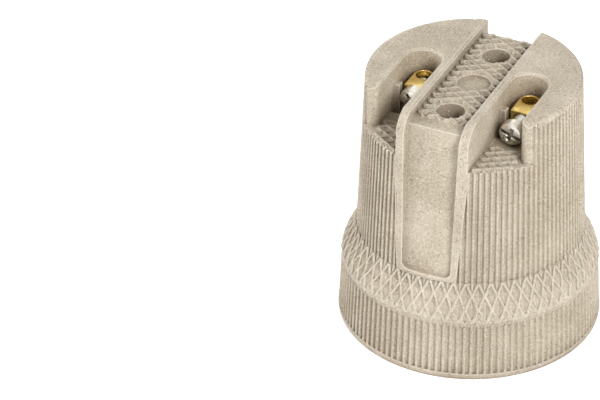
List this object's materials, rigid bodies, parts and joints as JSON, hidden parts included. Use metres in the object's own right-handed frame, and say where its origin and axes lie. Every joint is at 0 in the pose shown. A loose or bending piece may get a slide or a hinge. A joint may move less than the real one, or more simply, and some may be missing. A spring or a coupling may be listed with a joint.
{
  "type": "lamp holder",
  "caption": "Ribbed unglazed porcelain screw-in lamp holder with a rolled metal thread shell, screw terminals in open wire pockets and a channel for fixing screws.",
  "frame": {"origin": "on the axis, in the plane of the mouth rim that the holder stands on", "axes": "+Z along the axis towards the terminals, Y along the channel for the fixing screws, wire pockets open towards -Y"},
  "size_m": [0.045, 0.045, 0.0465],
  "materials": {
    "porcelain": "matte",
    "nickel_plate": "polished",
    "brass": "satin",
    "zinc_steel": "bright zinc",
    "copper": "satin"
  },
  "bodies": {
    "holder": {"ceramic_body": "porcelain", "thread_shell": "nickel_plate", "terminal_block_left": "brass", "terminal_block_right": "brass", "centre_contact": "copper", "side_contact": "copper"},
    "screw_left": {"clamp_screw_left": "zinc_steel"},
    "screw_right": {"clamp_screw_right": "zinc_steel"}
  },
  "joints": [
    {"name": "left_screw_travel", "type": "slide", "parent": "holder", "child": "screw_left", "axis": [0, -1, 0], "range_m": [0, 0.0033]},
    {"name": "right_screw_travel", "type": "slide", "parent": "holder", "child": "screw_right", "axis": [0, -1, 0], "range_m": [-0.00286, 0.0004]}
  ]
}
